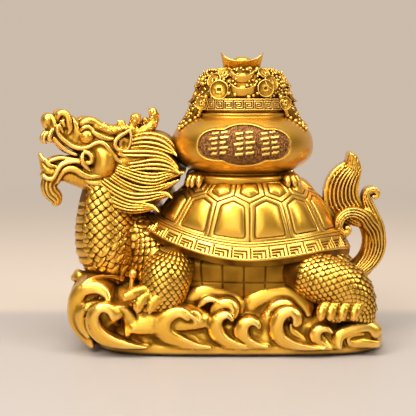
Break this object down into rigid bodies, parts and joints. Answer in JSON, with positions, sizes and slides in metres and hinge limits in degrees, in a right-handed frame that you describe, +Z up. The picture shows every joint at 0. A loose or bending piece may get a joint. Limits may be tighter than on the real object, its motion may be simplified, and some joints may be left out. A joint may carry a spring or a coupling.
{
  "type": "dragon turtle figure",
  "caption": "Gold dragon turtle on a base of curling waves, head up and tail raised, with a treasure bowl standing on its plated shell.",
  "frame": {"origin": "on the flat underside of the wave base, below the middle of the figure", "axes": "+Z up, -X towards the head, -Y towards the side that the head turns to"},
  "size_m": [0.2576, 0.1288, 0.2155],
  "materials": {
    "antique_gold": "satin gold with dark brown patina in the recesses"
  },
  "bodies": {
    "root": {"dragon_turtle": "antique_gold", "treasure_bowl": "antique_gold"}
  },
  "joints": []
}
